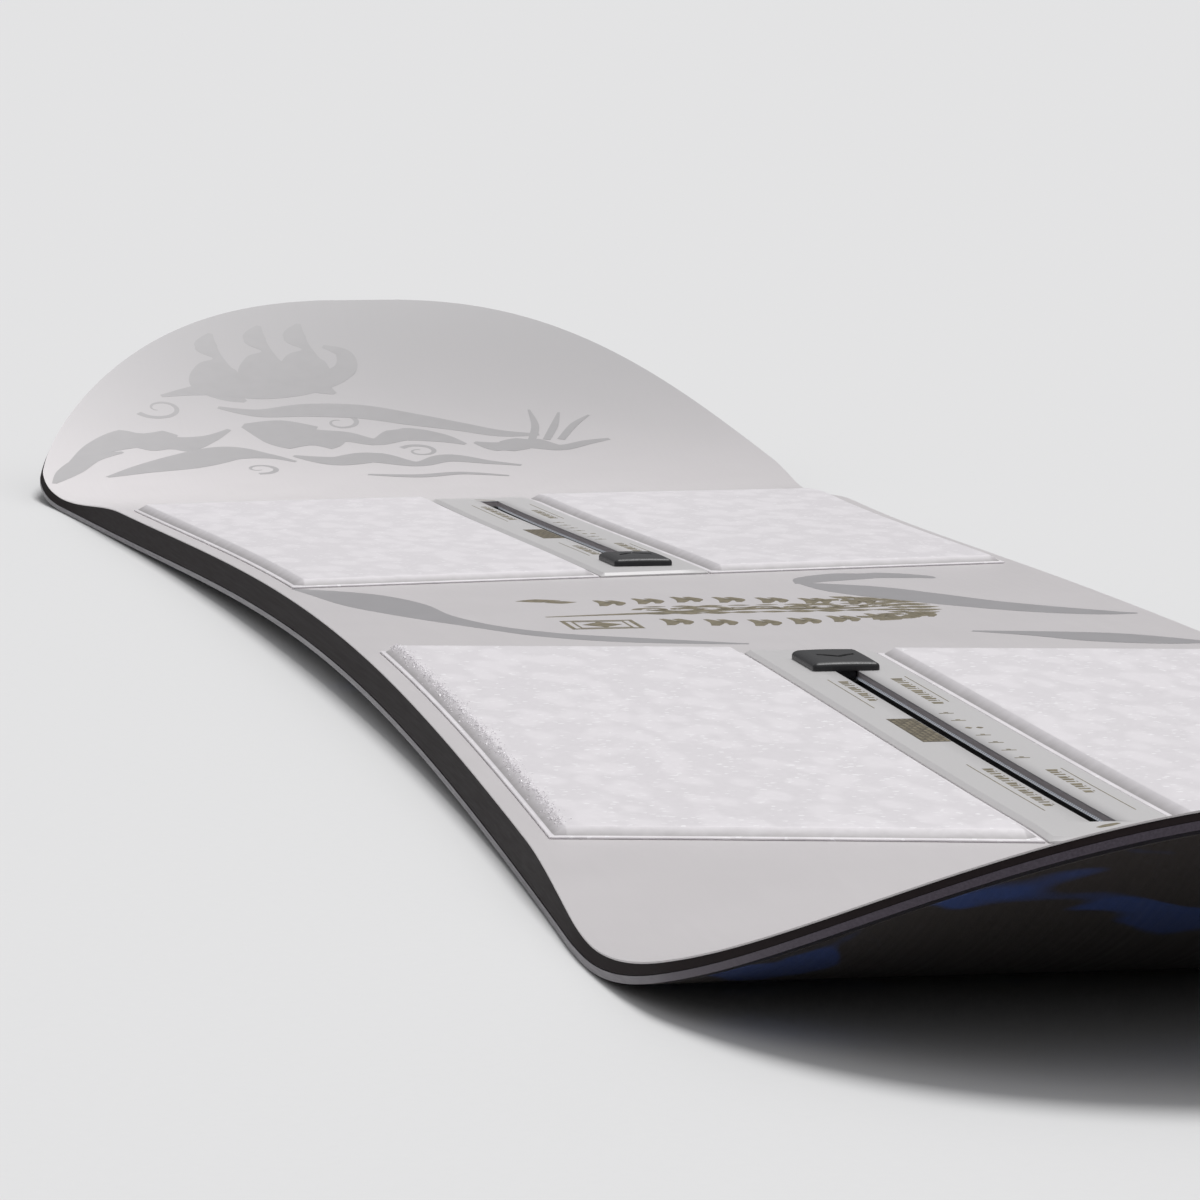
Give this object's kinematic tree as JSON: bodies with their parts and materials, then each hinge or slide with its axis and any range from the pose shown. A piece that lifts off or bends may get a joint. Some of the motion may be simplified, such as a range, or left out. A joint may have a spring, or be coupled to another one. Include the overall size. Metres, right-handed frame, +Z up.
{
  "type": "snowboard",
  "caption": "Directional snowboard with slotted mounting channels, raised stance pads, pull-out channel plugs, steel edges and an upturned nose and tail.",
  "frame": {"origin": "under the middle of the board's length and width, on the plane that the base rests on", "axes": "+X to the nose, +Y to the left of a rider facing the nose, +Z up from the base to the deck"},
  "size_m": [1.5798, 0.3006, 0.0691],
  "materials": {
    "base_sheet": "satin black sintered base",
    "steel_edge_left": "ground",
    "steel_edge_right": "ground",
    "lower_laminate": "cured glass laminate",
    "upper_laminate": "cured glass laminate",
    "damping_strip_left": "matte foil",
    "damping_strip_right": "matte foil",
    "core_stringer_centre": "planed beech",
    "core_stringer_inner_left": "planed poplar",
    "core_stringer_inner_right": "planed poplar",
    "core_stringer_outer_left": "planed beech",
    "core_stringer_outer_right": "planed beech",
    "sidewall_left": "milled",
    "sidewall_right": "milled",
    "nose_spacer": "milled",
    "tail_spacer": "milled",
    "topsheet": "satin",
    "channel_rail_nose": "satin",
    "channel_plate_nose": "satin",
    "stance_pad_nose_left": "pearl, finely mottled",
    "stance_pad_nose_right": "pearl, finely mottled",
    "channel_plug_nose": "satin",
    "channel_nut_nose_inner": "black zinc",
    "channel_nut_nose_outer": "black zinc",
    "channel_rail_tail": "satin",
    "channel_plate_tail": "satin",
    "stance_pad_tail_left": "pearl, finely mottled",
    "stance_pad_tail_right": "pearl, finely mottled",
    "channel_plug_tail": "satin",
    "channel_nut_tail_inner": "black zinc",
    "channel_nut_tail_outer": "black zinc"
  },
  "bodies": {
    "board": {"base_sheet": "base_sheet", "steel_edge_left": "steel_edge_left", "steel_edge_right": "steel_edge_right", "lower_laminate": "lower_laminate", "upper_laminate": "upper_laminate", "damping_strip_left": "damping_strip_left", "damping_strip_right": "damping_strip_right", "core_stringer_centre": "core_stringer_centre", "core_stringer_inner_left": "core_stringer_inner_left", "core_stringer_inner_right": "core_stringer_inner_right", "core_stringer_outer_left": "core_stringer_outer_left", "core_stringer_outer_right": "core_stringer_outer_right", "sidewall_left": "sidewall_left", "sidewall_right": "sidewall_right", "nose_spacer": "nose_spacer", "tail_spacer": "tail_spacer", "topsheet": "topsheet", "channel_rail_nose": "channel_rail_nose", "channel_plate_nose": "channel_plate_nose", "stance_pad_nose_left": "stance_pad_nose_left", "stance_pad_nose_right": "stance_pad_nose_right", "channel_rail_tail": "channel_rail_tail", "channel_plate_tail": "channel_plate_tail", "stance_pad_tail_left": "stance_pad_tail_left", "stance_pad_tail_right": "stance_pad_tail_right"},
    "plug_nose": {"channel_plug_nose": "channel_plug_nose"},
    "nut_nose_inner": {"channel_nut_nose_inner": "channel_nut_nose_inner"},
    "nut_nose_outer": {"channel_nut_nose_outer": "channel_nut_nose_outer"},
    "plug_tail": {"channel_plug_tail": "channel_plug_tail"},
    "nut_tail_inner": {"channel_nut_tail_inner": "channel_nut_tail_inner"},
    "nut_tail_outer": {"channel_nut_tail_outer": "channel_nut_tail_outer"}
  },
  "joints": [
    {"name": "plug_nose_lift", "type": "slide", "parent": "board", "child": "plug_nose", "axis": [0.0151, 0, 0.9999], "range_m": [0, 0.03]},
    {"name": "nut_nose_inner_slide", "type": "slide", "parent": "board", "child": "nut_nose_inner", "axis": [0.9999, 0, -0.0163], "range_m": [0, 0.2718]},
    {"name": "nut_nose_outer_slide", "type": "slide", "parent": "board", "child": "nut_nose_outer", "axis": [-0.9999, 0, 0.0163], "range_m": [0, 0.2718]},
    {"name": "plug_tail_lift", "type": "slide", "parent": "board", "child": "plug_tail", "axis": [-0.0151, 0, 0.9999], "range_m": [0, 0.03]},
    {"name": "nut_tail_inner_slide", "type": "slide", "parent": "board", "child": "nut_tail_inner", "axis": [-0.9999, 0, -0.0163], "range_m": [0, 0.2718]},
    {"name": "nut_tail_outer_slide", "type": "slide", "parent": "board", "child": "nut_tail_outer", "axis": [0.9999, 0, 0.0163], "range_m": [0, 0.2718]}
  ]
}
